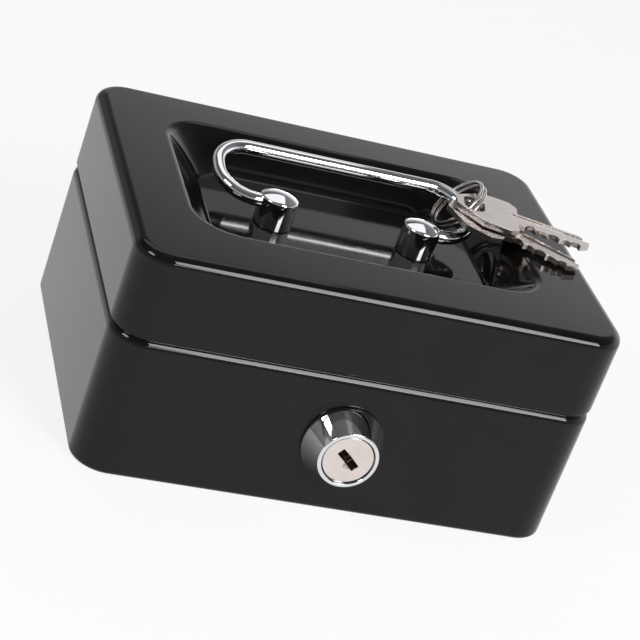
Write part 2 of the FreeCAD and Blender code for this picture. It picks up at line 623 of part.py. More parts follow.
def make_coin_tray():
    """A moulded tray that hangs in the mouth of the base, notched round the lock."""
    tray = new_body("coin_tray")
    lip_inside = "2 * (sheet + lip_gap + sheet)"
    body_x = "(box_width - %s - 2 * tray_edge_gap)" % lip_inside
    body_y = "(box_depth - %s - 2 * tray_edge_gap)" % lip_inside
    corner = "(corner_radius - sheet - lip_gap - sheet - tray_edge_gap)"
    flange_z = LIP_TOP + " + tray_seat_gap"
    well = new_sketch(tray, "XY", flange_z + " - tray_depth")
    rounded(well, body_x, body_y, corner)
    pad(tray, well, "tray_depth")
    rim = new_sketch(tray, "XY", flange_z)
    rounded(rim, "box_width - 2 * %s" % LIP_INSET, "box_depth - 2 * %s" % LIP_INSET,
            "corner_radius - " + LIP_INSET)
    pad(tray, rim, "tray_flange")
    top = flange_z + " + tray_flange"
    deep = "tray_depth + tray_flange - tray_wall"
    cups = new_sketch(tray, "XY", top)
    side_depth = "%s - 2 * tray_wall" % body_y
    for side in (-1, 1):
        rounded(cups, "tray_side_cup", side_depth, "tray_cup_corner",
                ("%d * (%s / 2 - tray_wall - tray_side_cup / 2)" % (side, body_x), "0"))
    middle = "(%s - 4 * tray_wall - 2 * tray_side_cup)" % body_x
    cup_length = "(%s - 2 * tray_wall - tray_notch_depth)" % body_y
    back_middle = "%s / 2 - tray_wall - %s / 2" % (body_y, cup_length)
    for side in (-1, 1):
        rounded(cups, "(%s - tray_wall) / 2" % middle, cup_length, "tray_cup_corner",
                ("%d * (%s + tray_wall) / 4" % (side, middle), back_middle))
    pocket(tray, cups, deep)
    notch = new_sketch(tray, "XY", top)
    edge = "-box_depth / 2"
    inner = "-%s / 2 + tray_notch_depth - tray_wall" % body_y
    half = "tray_notch_width / 2"
    polygon(notch, [("-" + half, edge), (half, edge), (half, inner), ("-" + half, inner)])
    pocket(tray, notch, "tray_flange + tray_depth")
    tab = new_sketch(tray, "XY", top)
    tab_y = "%s / 2 - tray_wall - %s" % (body_y, cup_length)
    tab_half = "tray_tab_width / 2"
    tab_front = tab_y + " - tray_wall"
    polygon(tab, [("-" + tab_half, tab_front), (tab_half, tab_front), (tab_half, tab_y),
                  ("-" + tab_half, tab_y)])
    pad(tray, tab, "tray_tab_height")


def ring_frame():
    """The middle of the split ring, and its directions: up its slope, to the front, and along its axis."""
    tip, yaw = math.radians(SIZES["ring_tip"]), math.radians(SIZES["ring_yaw"])
    middle = Vector(value_of(HALF_SPAN + " - ring_inset"), value_of("front_bend + side_straight + ring_back"),
                    value_of(PIVOT + " + ring_rise"))
    front = Vector(math.sin(yaw), -math.cos(yaw), 0)
    flat = Vector(math.cos(yaw), math.sin(yaw), 0)
    up_slope = flat * math.cos(tip) + Vector(0, 0, math.sin(tip))
    return middle, up_slope, front, up_slope.cross(front)


def ring_point(turn, along=0.0):
    """A point of the ring's wire and its direction, at an angle from the top of the slope to the front."""
    middle, up_slope, front, axis = ring_frame()
    radius = SIZES["ring_radius"]
    climb = SIZES["ring_pitch"] / (2 * math.pi)
    spot = middle + up_slope * (radius * math.cos(turn)) + front * (radius * math.sin(turn)) + axis * along
    heading = front * (radius * math.cos(turn)) - up_slope * (radius * math.sin(turn)) + axis * climb
    return spot, heading.normalize()


def biarc(start, heading, end, end_heading):
    """Two arcs that join two points smoothly."""
    chord = end - start
    both = heading + end_heading
    square = 2 * (1 - heading.dot(end_heading))
    lean = chord.dot(both)
    reach = (-lean + math.sqrt(lean ** 2 + square * chord.dot(chord))) / square
    joint = (start + heading * reach + end - end_heading * reach) * 0.5
    return [arc_from(start, heading, joint), arc_from(end, end_heading * -1, joint, back=True)]


def arc_from(start, heading, end, back=False):
    """An arc that leaves a point in one direction and ends at another point."""
    chord = end - start
    side = chord - heading * chord.dot(heading)
    side.normalize()
    radius = chord.dot(chord) / (2 * chord.dot(side))
    centre = start + side * radius
    middle = (start + end) * 0.5 - centre
    crest = centre + middle.normalize() * radius
    return Part.Arc(end, crest, start) if back else Part.Arc(start, crest, end)


QUARTERS = 4


def make_key_ring():
    """A split ring: one unbroken wire wound over itself, with a small gap between its turns."""
    steps = int(SIZES["ring_turns"] * QUARTERS)
    rise = SIZES["ring_pitch"] / QUARTERS
    stations = []
    for n in range(steps + 1):
        stations.append(ring_point(math.pi + n * 2 * math.pi / QUARTERS, (n - steps / 2) * rise))
    edges = []
    for (a, ha), (b, hb) in zip(stations, stations[1:]):
        edges += [arc.toShape() for arc in biarc(a, ha, b, hb)]
    path = Part.Wire(edges)
    start, heading = stations[0]
    section = Part.Wire([Part.Circle(start, heading, SIZES["ring_wire"] / 2).toShape()])
    ring = doc.addObject("Part::Feature", "ring")
    ring.Shape = path.makePipeShell([section], True, False)
    per_turn = 90
    dense = [ring_point(math.pi + n * 2 * math.pi / per_turn, (n / per_turn - SIZES["ring_turns"] / 2)
                        * SIZES["ring_pitch"])[0] for n in range(int(per_turn * SIZES["ring_turns"]) + 1)]
    least = min((a - b).Length for i, a in enumerate(dense) for b in dense[i + per_turn // 2:])
    print("key ring: gap between turns %.2f mm" % (least - SIZES["ring_wire"]))
    keep(ring, "key_ring")


def ring_turn_at(height):
    """The angle on the front half of the ring where it reaches a height."""
    middle, up_slope, _, _ = ring_frame()
    return math.acos((height - middle.z) / (SIZES["ring_radius"] * up_slope.z))


KEY_CUTS = (1.0, 0.5, 0.8, 0.4, 0.9)


def make_key(label, height, yaw):
    """A flat key with a chamfered bow, threaded on the ring by the slot in its bow."""
    key = new_body(label)
    outline = new_sketch(key, "XY", "-key_thickness / 2")
    bow, blade = "key_bow / 2", "blade_width / 2"
    back = "-key_hole_inset"
    neck = "key_bow_length - key_hole_inset"
    tip = "key_bow_length - key_hole_inset + blade_length"
    slope = "(key_bow - key_bow_end) / 2"
    points = [(back, "-key_bow_end / 2"), (back + " + key_end_chamfer", "-" + bow),
              (neck + " - " + slope + " / 3", "-" + bow), (neck, "-" + bow + " + " + slope + " / 3"),
              (neck, "-" + blade)]
    for n, share in enumerate(KEY_CUTS):
        start = neck + " + %s * tooth_pitch" % (n + 0.6)
        cut_line = "-%s + tooth_depth * %s" % (blade, share)
        points += [(start, "-" + blade), (start + " + 0.3 * tooth_pitch", cut_line),
                   (start + " + 0.7 * tooth_pitch", cut_line)]
    points += [(tip + " - blade_tip", "-" + blade), (tip, "-blade_width / 8"), (tip, "blade_width / 8"),
               (tip + " - blade_tip", blade), (neck, blade), (neck, bow + " - " + slope + " / 3"),
               (neck + " - " + slope + " / 3", bow), (back + " + key_end_chamfer", bow),
               (back, "key_bow_end / 2")]
    polygon(outline, points)
    pad(key, outline, "key_thickness")
    slot = new_sketch(key, "XY", "key_thickness / 2")
    rounded(slot, "key_hole_width", "key_hole_length", "key_hole_width / 2.2")
    pocket(key, slot, "key_thickness")
    for face, backwards in (("key_thickness / 2", False), ("-key_thickness / 2", True)):
        groove = new_sketch(key, "XY", face)
        shift = "blade_width / 8" if not backwards else "blade_width / 4"
        polygon(groove, [(neck + " - groove_width", shift), (tip, shift), (tip, shift + " + groove_width"),
                         (neck + " - groove_width", shift + " + groove_width")])
        pocket(key, groove, "groove_depth", backwards)
    spot, _ = ring_point(ring_turn_at(height))
    pitch_down = Rotation(Vector(0, 1, 0), SIZES["key_pitch"])
    key.Placement = FreeCAD.Placement(spot, Rotation(Vector(0, 0, 1), SIZES[yaw]).multiply(pitch_down))


def make_keys():
    low = value_of(PIVOT + " + low_key_rise")
    make_key("key_low", low, "low_key_yaw")
    make_key("key_high", low + SIZES["key_thickness"] + SIZES["key_gap"], "high_key_yaw")


def write_pieces():
    """Check every object of the document, then write one file for each sub-part."""
    doc.recompute()
    for thing in doc.Objects:
        assert not {"Invalid", "Error"} & set(thing.State), "%s failed: %s" % (thing.Label, thing.State)
    for piece in PIECES:
        assert not piece.Shape.isNull() and piece.Shape.isValid(), piece.Label + " has no valid shape"
        assert piece.Shape.Solids, piece.Label + " has no solid"
    for piece in PIECES:
        piece.Shape.exportStep(os.path.join("parts", piece.Label + ".step"))
        print("%-20s %d solid(s) %10.1f mm3" % (piece.Label, len(piece.Shape.Solids), piece.Shape.Volume))


make_base_shell()
make_lid_shell()
make_posts()
make_post_fasteners()
make_handle()
make_hinge()
make_lock_housing()
make_lock_plug()
make_lock_wafers()
make_lock_fittings()
make_strike()
make_coin_tray()
make_key_ring()
make_keys()
write_pieces()
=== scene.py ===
"""A gloss black cash box with a wire handle, plated fittings and two keys on a split ring.

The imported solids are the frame. Each operator dresses one piece or group of like pieces, in metres.
"""
import json
import math

import bmesh
import bpy
from mathutils import Matrix, Vector


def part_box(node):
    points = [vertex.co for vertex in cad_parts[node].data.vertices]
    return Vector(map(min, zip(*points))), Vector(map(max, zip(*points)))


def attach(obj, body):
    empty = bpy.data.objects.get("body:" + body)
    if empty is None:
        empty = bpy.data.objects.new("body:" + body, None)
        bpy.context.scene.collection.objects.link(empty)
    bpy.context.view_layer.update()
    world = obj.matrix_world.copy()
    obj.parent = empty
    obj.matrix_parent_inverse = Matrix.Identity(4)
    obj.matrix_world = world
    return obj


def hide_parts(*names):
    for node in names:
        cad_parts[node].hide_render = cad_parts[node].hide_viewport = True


bl_info = {
    "name": "Cash Box",
    "version": (1, 0, 0),
    "blender": (4, 5, 0),
    "location": "View3D > Sidebar > Cash Box",
    "description": "Dresses the solids of a small cash box and sets its stage",
    "category": "Object",
}

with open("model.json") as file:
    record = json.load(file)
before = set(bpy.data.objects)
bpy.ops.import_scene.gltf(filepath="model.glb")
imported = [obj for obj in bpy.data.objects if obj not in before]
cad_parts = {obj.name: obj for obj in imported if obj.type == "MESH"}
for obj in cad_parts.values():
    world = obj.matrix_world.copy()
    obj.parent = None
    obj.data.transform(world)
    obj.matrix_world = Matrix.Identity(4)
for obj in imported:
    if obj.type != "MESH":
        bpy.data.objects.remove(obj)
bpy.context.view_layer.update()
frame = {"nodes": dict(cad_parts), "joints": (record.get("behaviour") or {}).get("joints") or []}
NODES = frame["nodes"]
JOINTS = {joint["name"]: joint for joint in frame["joints"]}
MM = 0.001

BASE_LOW, BASE_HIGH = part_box("base_shell")
LID_LOW, LID_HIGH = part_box("lid_shell")
BAIL_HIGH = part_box("handle_bail")[1]
LOCK_LOW, LOCK_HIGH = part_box("lock_housing")

# Limits of the mesh steps.
MERGE = 0.001 * MM
WELD = 0.0001 * MM
COPLANAR = math.radians(1.0)
SHARP = math.radians(35)
SHALLOW = math.radians(5)
FACING = 0.9999

# Facets of the round shapes.
CORNER_STEPS = 12
POST_STEPS = 72
LOCK_STEPS = 128
WIRE_SIDES = 28
DOME_SEGMENTS, DOME_RINGS = 32, 16

# Broken edges and other small shapes.
PLUG_BREAK = 0.12 * MM
PLATE_BREAK = 0.2 * MM
TRAY_BREAK = 0.3 * MM
KEY_BREAK = 0.16 * MM
POST_FOOT = 0.35 * MM
LEG_SHARE = 0.3
RIVET_SQUAT = 0.4

FORWARD = Matrix.Rotation(math.radians(90), 4, "X")
LOCK_FRONT = Vector((0.0, -1.0, 0.0))

# Each finish takes its colour from the property of the same name. Its grain is a noise scale, and its bump
# is a noise scale, a strength and a depth.
GRAIN_DETAIL = 6.0
GRAIN_ROUGHNESS = 0.6
TONE_STOPS = (0.3, 0.7)
EVEN = (1.0, 1.0, 1.0)
ALONG = (0.35, 1.0, 1.0)
FINISHES = {
    "enamel": {"material": "black_enamel", "metallic": 0.0, "roughness": (0.05, 0.1), "spread": 0.25,
               "grain": 60.0, "bump": (520.0, 0.015, 0.04 * MM), "specular": 0.24},
    "chrome": {"material": "bright_chrome", "metallic": 1.0, "roughness": (0.03, 0.08), "spread": 0.06,
               "grain": 220.0, "bump": (900.0, 0.03, 0.03 * MM)},
    "plug": {"material": "satin_plate", "metallic": 1.0, "roughness": (0.1, 0.2), "spread": 0.05,
             "grain": 260.0, "bump": (1100.0, 0.05, 0.03 * MM)},
    "nickel": {"material": "worn_nickel", "metallic": 1.0, "roughness": (0.16, 0.34), "spread": 0.14,
               "grain": 300.0, "stretch": ALONG, "bump": (1400.0, 0.12, 0.04 * MM)},
    "zinc": {"material": "zinc_plate", "metallic": 1.0, "roughness": (0.26, 0.42), "spread": 0.15,
             "grain": 260.0, "bump": (1200.0, 0.1, 0.04 * MM)},
    "plastic": {"material": "tray_plastic", "metallic": 0.0, "roughness": (0.42, 0.58), "spread": 0.12,
                "grain": 90.0, "bump": (1800.0, 0.18, 0.05 * MM)},
    "brass": {"material": "wafer_brass", "metallic": 1.0, "roughness": (0.22, 0.36), "spread": 0.14,
              "grain": 300.0, "bump": (1200.0, 0.1, 0.03 * MM)},
    "floor": {"material": "pale_floor", "metallic": 0.0, "roughness": (0.6, 0.7), "spread": 0.02,
              "grain": 8.0, "bump": (60.0, 0.02, 0.1 * MM)},
}
PLAIN_SPECULAR = 0.5


def length(label, note, default):
    """A size in metres that a user may change."""
    return bpy.props.FloatProperty(name=label, description=note, default=default, min=0.0, subtype="DISTANCE",
                                   unit="LENGTH", precision=5)


def tint(label, note, default):
    """A surface colour that a user may change."""
    return bpy.props.FloatVectorProperty(name=label, description=note, default=default, size=3, min=0.0, max=1.0,
                                         subtype="COLOR")


class CashBoxSizes(bpy.types.PropertyGroup):
    """Sizes of the visible pieces"""
    sheet: length("Sheet", "Thickness of the pressed steel", 0.8 * MM)
    corner: length("Corner radius", "Radius of the upright corners", 9.0 * MM)
    foot: length("Foot radius", "Rounding of the bottom edge", 1.4 * MM)
    shoulder: length("Shoulder radius", "Rounding of the base below the seam", 3.0 * MM)
    shoulder_top: length("Shoulder height", "Height of the seam above the floor", 38.0 * MM)
    lip_inset: length("Lip inset", "How far the base's lip stands inside its wall", 1.3 * MM)
    lid_edge: length("Lid edge radius", "Rounding of the lid's top edge", 2.8 * MM)
    recess_width: length("Recess width", "Width of the recess at its rim", 92.0 * MM)
    recess_length: length("Recess length", "Front to back length of the recess at its rim", 61.0 * MM)
    recess_offset: length("Recess offset", "How far the recess lies behind the middle", 1.5 * MM)
    recess_drop: length("Recess depth", "Depth of the recess", 9.0 * MM)
    recess_run: length("Recess slope", "Sideways run of the sloping walls", 9.0 * MM)
    recess_corner: length("Recess corner", "Corner radius of the recess at its rim", 12.0 * MM)
    rim: length("Rim radius", "Rounding of the recess rim", 2.4 * MM)
    pan: length("Floor radius", "Rounding where the recess wall meets its floor", 2.2 * MM)
    wire: length("Handle wire", "Diameter of the handle wire", 3.6 * MM)
    front_bend: length("Front bend", "Bend radius of the handle by its posts", 9.45 * MM)
    back_bend: length("Back bend", "Bend radius of the handle by its bar", 9.0 * MM)
    post_dome: length("Post dome", "Rise of the dome on each post", 1.2 * MM)
    post_edge: length("Post edge", "Rounding of each post's rim", 0.6 * MM)
    lock_base: length("Lock base", "Diameter of the lock where it meets the wall", 20.8 * MM)
    lock_face: length("Lock face", "Diameter of the lock's front", 15.0 * MM)
    lock_stand: length("Lock stand", "How far the lock stands out of the wall", 7.4 * MM)
    lock_rim: length("Lock rim", "Upright rim of the lock at the wall", 1.0 * MM)
    lock_seat: length("Lock seat", "Diameter of the seat round the plug", 13.3 * MM)
    lock_seat_depth: length("Lock seat depth", "Depth of the seat round the plug", 1.68 * MM)
    lock_bore: length("Lock bore", "Diameter of the bore for the plug", 10.76 * MM)
    lock_barrel: length("Lock barrel", "Diameter of the barrel through the wall", 16.0 * MM)
    lock_edge: length("Lock edge", "Rounding of the lock's edges", 0.3 * MM)
    rivet: length("Rivet head", "Diameter of the hinge rivets' heads", 4.4 * MM)


class CashBoxColours(bpy.types.PropertyGroup):
    """Colours of the finishes"""
    enamel: tint("Enamel", "Gloss black paint", (0.0050, 0.0043, 0.0036))
    chrome: tint("Chrome", "Bright plate on the handle, posts and lock", (0.74, 0.75, 0.77))
    nickel: tint("Nickel", "Plate on the keys and ring", (0.54, 0.50, 0.475))
    zinc: tint("Zinc", "Plate on screws, nut and cam", (0.46, 0.47, 0.49))
    plug: tint("Lock plug", "Satin plated plug of the lock", (0.72, 0.655, 0.625))
    plastic: tint("Plastic", "Moulded coin tray", (0.035, 0.035, 0.038))
    brass: tint("Brass", "Lock wafers", (0.62, 0.44, 0.17))
    floor: tint("Floor", "Pale floor under the box", (0.78, 0.77, 0.76))


def sizes():
    """The sizes as they stand in the scene."""
    return bpy.context.scene.cash_box_sizes


def colours():
    """The colours as they stand in the scene."""
    return bpy.context.scene.cash_box_colours


def surface(key):
    """A finish whose tone, gloss and height vary a little by a noise on the object's own coordinates."""
    finish = FINISHES[key]
    found = bpy.data.materials.get(finish["material"])
    if found:
        return found
    colour, spread = getattr(colours(), key), finish["spread"]
    material = bpy.data.materials.new(finish["material"])
    material.use_nodes = True
    tree = material.node_tree
    shader = tree.nodes["Principled BSDF"]
    shader.inputs["Metallic"].default_value = finish["metallic"]
    shader.inputs["Specular IOR Level"].default_value = finish.get("specular", PLAIN_SPECULAR)
    place = tree.nodes.new("ShaderNodeTexCoord")
    stretch = tree.nodes.new("ShaderNodeMapping")
    stretch.inputs["Scale"].default_value = finish.get("stretch", EVEN)
    tree.links.new(place.outputs["Object"], stretch.inputs["Vector"])
    noise = tree.nodes.new("ShaderNodeTexNoise")
    noise.inputs["Scale"].default_value = finish["grain"]
    noise.inputs["Detail"].default_value = GRAIN_DETAIL
    noise.inputs["Roughness"].default_value = GRAIN_ROUGHNESS
    tree.links.new(stretch.outputs["Vector"], noise.inputs["Vector"])
    tone = tree.nodes.new("ShaderNodeValToRGB")
    low, high = tone.color_ramp.elements
    low.position, high.position = TONE_STOPS
    low.color = [c * (1 - spread) for c in colour] + [1.0]
    high.color = [min(1.0, c * (1 + spread)) for c in colour] + [1.0]
    tree.links.new(noise.outputs["Fac"], tone.inputs["Fac"])
    tree.links.new(tone.outputs["Color"], shader.inputs["Base Color"])
    gloss = tree.nodes.new("ShaderNodeMapRange")
    gloss.inputs["To Min"].default_value, gloss.inputs["To Max"].default_value = finish["roughness"]
    tree.links.new(noise.outputs["Fac"], gloss.inputs["Value"])
    tree.links.new(gloss.outputs["Result"], shader.inputs["Roughness"])
    fine_scale, strength, depth = finish["bump"]
    fine = tree.nodes.new("ShaderNodeTexNoise")
    fine.inputs["Scale"].default_value = fine_scale
    tree.links.new(place.outputs["Object"], fine.inputs["Vector"])
    height = tree.nodes.new("ShaderNodeBump")
    height.inputs["Strength"].default_value = strength
    height.inputs["Distance"].default_value = depth
    tree.links.new(fine.outputs["Fac"], height.inputs["Height"])
    tree.links.new(height.outputs["Normal"], shader.inputs["Normal"])
    return material


def add_piece(name, mesh, material, body, nodes=()):
    """Put a finished mesh in the scene, on its body and in place of its solids."""
    piece = bpy.data.objects.new(name, mesh)
    bpy.context.scene.collection.objects.link(piece)
    mesh.materials.clear()
    mesh.materials.append(material)
    mesh.shade_smooth()
    even = piece.modifiers.new("Even shading", "WEIGHTED_NORMAL")
    even.keep_sharp = True
    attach(piece, body)
    if nodes:
        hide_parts(*nodes)
    return piece


def coat_node(node, material):
    """Give a solid that stays on show its finish."""
    mesh = NODES[node].data
    mesh.materials.clear()
    mesh.materials.append(material)


def softened(node, width, segments=2, dished=None):
    """A merged copy of a solid with its edges broken, where the rim of a dish in a flat face stays crisp."""
    mesh = NODES[node].data.copy()
    edit = bmesh.new()
    edit.from_mesh(mesh)
    bmesh.ops.remove_doubles(edit, verts=edit.verts, dist=MERGE)
    bmesh.ops.dissolve_limit(edit, angle_limit=COPLANAR, verts=edit.verts, edges=edit.edges)
    solid = [edge for edge in edit.edges if edge.is_manifold]
    sharp = [edge for edge in solid if edge.calc_face_angle() > SHARP]
    if dished:
        for edge in solid:
            flat = any(face.normal.dot(dished) > FACING for face in edge.link_faces)
            edge.smooth = not (flat and SHALLOW < edge.calc_face_angle() < SHARP)
    bmesh.ops.bevel(edit, geom=sharp, offset=width, segments=segments, profile=0.5, affect="EDGES", clamp_overlap=True)
    edit.to_mesh(mesh)
    edit.free()
    return mesh


def ring(half_x, half_y, radius, z, shift=0.0):
    """A rounded rectangle of points at one height, anticlockwise from its right side."""
    points = []
    middles = [(half_x - radius, half_y - radius, 0), (radius - half_x, half_y - radius, 90),
               (radius - half_x, radius - half_y, 180), (half_x - radius, radius - half_y, 270)]
    for x, y, start in middles:
        for step in range(CORNER_STEPS + 1):
            angle = math.radians(start + 90 * step / CORNER_STEPS)
            points.append((x + radius * math.cos(angle), y + radius * math.sin(angle) + shift, z))
    return points


def bridged(edit, rows):
    """Fill the faces between neighbouring rings of equal count."""
    count = len(rows[0])
    for low, high in zip(rows, rows[1:]):
        for n in range(count):
            edit.faces.new((low[n], low[(n + 1) % count], high[(n + 1) % count], high[n]))


def kept(edit, name):
    """A new mesh from an edit that is done with."""
    mesh = bpy.data.meshes.new(name)
    edit.to_mesh(mesh)
    edit.free()
    return mesh


def skin(name, rings):
    """A closed mesh through rings of equal count, with both ends capped."""
    edit = bmesh.new()
    rows = [[edit.verts.new(point) for point in row] for row in rings]
    bridged(edit, rows)
    edit.faces.new(list(reversed(rows[0])))
    edit.faces.new(rows[-1])
    bmesh.ops.recalc_face_normals(edit, faces=edit.faces)
    return kept(edit, name)


def shell_of(name, upper, under):
    """A lid-like shell: an upper and an under skin, each capped at its own floor and joined along the hem."""
    edit = bmesh.new()
    tops = [[edit.verts.new(point) for point in row] for row in upper]
    lows = [[edit.verts.new(point) for point in row] for row in under]
    for rows in (tops, lows, [lows[-1], tops[0]]):
        bridged(edit, rows)
    edit.faces.new(tops[-1])
    edit.faces.new(lows[0])
    bmesh.ops.recalc_face_normals(edit, faces=edit.faces)
    return kept(edit, name)


def arc(middle, radius, start, end, steps=7):
    """Points on an arc in a plane of two sizes, such as inset and height."""
    angles = [math.radians(start + (end - start) * n / steps) for n in range(steps + 1)]
    return [(middle[0] + radius * math.cos(a), middle[1] + radius * math.sin(a)) for a in angles]


def lathe(name, profile, middle, steps=POST_STEPS, turn=Matrix()):
    """A turned mesh from points of radius and height, standing on +Z from its middle unless it is turned."""
    edit = bmesh.new()
    rows = []
    for n in range(steps):
        angle = 2 * math.pi * n / steps
        rows.append([edit.verts.new((r * math.cos(angle), r * math.sin(angle), h)) for r, h in profile])
    for n in range(steps):
        here, there = rows[n], rows[(n + 1) % steps]
        for k in range(len(profile)):
            follow = (k + 1) % len(profile)
            edit.faces.new((here[k], there[k], there[follow], here[follow]))
    bmesh.ops.remove_doubles(edit, verts=edit.verts, dist=WELD)
    bmesh.ops.dissolve_degenerate(edit, edges=edit.edges, dist=WELD)
    bmesh.ops.recalc_face_normals(edit, faces=edit.faces)
    bmesh.ops.transform(edit, matrix=Matrix.Translation(middle) @ turn, verts=edit.verts)
    return kept(edit, name)


def shape_tree(name, feed, size, result):
    """An empty node tree with a mesh and a size going in and a mesh coming out."""
    tree = bpy.data.node_groups.new(name, "GeometryNodeTree")
    tree.interface.new_socket(feed, in_out="INPUT", socket_type="NodeSocketGeometry")
    socket = tree.interface.new_socket(size, in_out="INPUT", socket_type="NodeSocketFloat")
    tree.interface.new_socket(result, in_out="OUTPUT", socket_type="NodeSocketGeometry")
    return tree, tree.nodes.new("NodeGroupInput"), tree.nodes.new("NodeGroupOutput"), socket.identifier


def end_tree(tree, shape, material, result):
    """Realize a node tree's shape, and give it its material on the way out."""
    whole = tree.nodes.new("GeometryNodeRealizeInstances")
    coat = tree.nodes.new("GeometryNodeSetMaterial")
    coat.inputs["Material"].default_value = material
    tree.links.new(shape, whole.inputs["Geometry"])
    tree.links.new(whole.outputs["Geometry"], coat.inputs["Geometry"])
    tree.links.new(coat.outputs["Geometry"], result)


def wire_tree(material):
    """A node tree that makes a round wire along a path of edges."""
    tree, start, end, socket = shape_tree("wire_along_path", "Path", "Wire radius", "Wire")
    curve = tree.nodes.new("GeometryNodeMeshToCurve")
    profile = tree.nodes.new("GeometryNodeCurvePrimitiveCircle")
    profile.inputs["Resolution"].default_value = WIRE_SIDES
    sweep = tree.nodes.new("GeometryNodeCurveToMesh")
    sweep.inputs["Fill Caps"].default_value = True
    tree.links.new(start.outputs["Path"], curve.inputs["Mesh"])
    tree.links.new(start.outputs["Wire radius"], profile.inputs["Radius"])
    tree.links.new(curve.outputs["Curve"], sweep.inputs["Curve"])
    tree.links.new(profile.outputs["Curve"], sweep.inputs["Profile Curve"])
    end_tree(tree, sweep.outputs["Mesh"], material, end.inputs["Wire"])
    return tree, socket


def rivet_tree(material):
    """A node tree that sets a flattened ball, as a rivet's head, on every point of a mesh."""
    tree, start, end, socket = shape_tree("domed_rivets", "Places", "Head radius", "Rivets")
    dome = tree.nodes.new("GeometryNodeMeshUVSphere")
    dome.inputs["Segments"].default_value = DOME_SEGMENTS
    dome.inputs["Rings"].default_value = DOME_RINGS
    squat = tree.nodes.new("GeometryNodeTransform")
    squat.inputs["Scale"].default_value = (1.0, RIVET_SQUAT, 1.0)
    seat = tree.nodes.new("GeometryNodeInstanceOnPoints")
    tree.links.new(start.outputs["Head radius"], dome.inputs["Radius"])
    tree.links.new(dome.outputs["Mesh"], squat.inputs["Geometry"])
    tree.links.new(start.outputs["Places"], seat.inputs["Points"])
    tree.links.new(squat.outputs["Geometry"], seat.inputs["Instance"])
    end_tree(tree, seat.outputs["Instances"], material, end.inputs["Rivets"])
    return tree, socket


def grown(name, points, edges, maker, material, size):
    """Run a node tree on points or a path, and keep its result as a plain mesh."""
    seed = bpy.data.meshes.new(name + "_seed")
    seed.from_pydata(points, edges, [])
    holder = bpy.data.objects.new(name + "_seed", seed)
    bpy.context.scene.collection.objects.link(holder)
    tree, socket = maker(material)
    modifier = holder.modifiers.new("Shape", "NODES")
    modifier.node_group = tree
    modifier[socket] = size
    bpy.context.view_layer.update()
    graph = bpy.context.evaluated_depsgraph_get()
    mesh = bpy.data.meshes.new_from_object(holder.evaluated_get(graph))
    mesh.name = name
    bpy.data.objects.remove(holder)
    return mesh


class CASHBOX_OT_base(bpy.types.Operator):
    """Make the painted lower shell with its shoulder and lip"""
    bl_idname = "cashbox.base"
    bl_label = "Base shell"

    def execute(self, context):
        s = sizes()
        half_x, half_y = BASE_HIGH.x, BASE_HIGH.y
        turn = s.shoulder_top - s.shoulder
        hollow = s.shoulder - s.sheet
        outer_end = math.degrees(math.acos((s.shoulder - s.lip_inset) / s.shoulder))
        lip_in = s.lip_inset + s.sheet
        inner_start = math.degrees(math.acos((s.shoulder - lip_in) / hollow))
        top = BASE_HIGH.z
        edge = s.sheet / 2
        lip_middle = (s.lip_inset + edge, top - edge)
        path = arc((s.foot, s.foot), s.foot, 270, 180)
        path += arc((s.shoulder, turn), s.shoulder, 180, 180 - outer_end, 10)
        path += arc(lip_middle, edge, 180, 0, 8)
        path += arc((s.shoulder, turn), hollow, 180 - inner_start, 180, 8)
        path += arc((s.foot, s.foot), s.foot - s.sheet, 180, 270, 5)
        rings = [ring(half_x - inset, half_y - inset, s.corner - inset, z) for inset, z in path]
        add_piece("base_shell_painted", skin("base_shell_painted", rings), surface("enamel"), "base",
                  ["base_shell"])
        return {"FINISHED"}


class CASHBOX_OT_lid(bpy.types.Operator):
    """Make the painted lid with its sloping recess"""
    bl_idname = "cashbox.lid"
    bl_label = "Lid shell"

    def execute(self, context):
        s = sizes()
        half_x, half_y = LID_HIGH.x, LID_HIGH.y
        bottom, top = LID_LOW.z, LID_HIGH.z
        hem = s.sheet / 2
        lean = math.degrees(math.atan2(s.recess_drop, s.recess_run))
        slack = math.tan(math.radians(lean / 2))
        skin_run = s.sheet / math.sin(math.radians(lean))

        def walls(path):
            return [ring(half_x - i, half_y - i, s.corner - i, z) for i, z in path]

        def recess(path):
            return [ring(s.recess_width / 2 - run, s.recess_length / 2 - run, s.recess_corner - run / 2, z,
                         s.recess_offset) for run, z in path]

        def pan_path(drop, run):
            rim_radius = s.rim - drop
            floor_radius = s.pan + drop
            height = top - drop
            base = top - s.recess_drop - drop
            rim_at = (run - s.rim * slack + drop * slack, height - rim_radius)
            floor_at = (run + s.recess_run + floor_radius * slack, base + floor_radius)
            return arc(rim_at, rim_radius, 90, 90 - lean) + arc(floor_at, floor_radius, 270 - lean, 270)

        outside = arc((hem, bottom + hem), hem, 270, 180, 4)
        outside += arc((s.lid_edge, top - s.lid_edge), s.lid_edge, 180, 90, 9)
        inside = arc((s.lid_edge, top - s.lid_edge), s.lid_edge - s.sheet, 90, 180, 7)
        inside += [(s.sheet, bottom + hem), (s.sheet - hem / 4, bottom + hem / 4)]
        upper = walls(outside) + recess(pan_path(0.0, 0.0))
        under = recess(list(reversed(pan_path(s.sheet, -skin_run + s.sheet)))) + walls(inside)
        shell = shell_of("lid_shell_painted", upper, under)
        add_piece("lid_shell_painted", shell, surface("enamel"), "lid", ["lid_shell"])
        return {"FINISHED"}


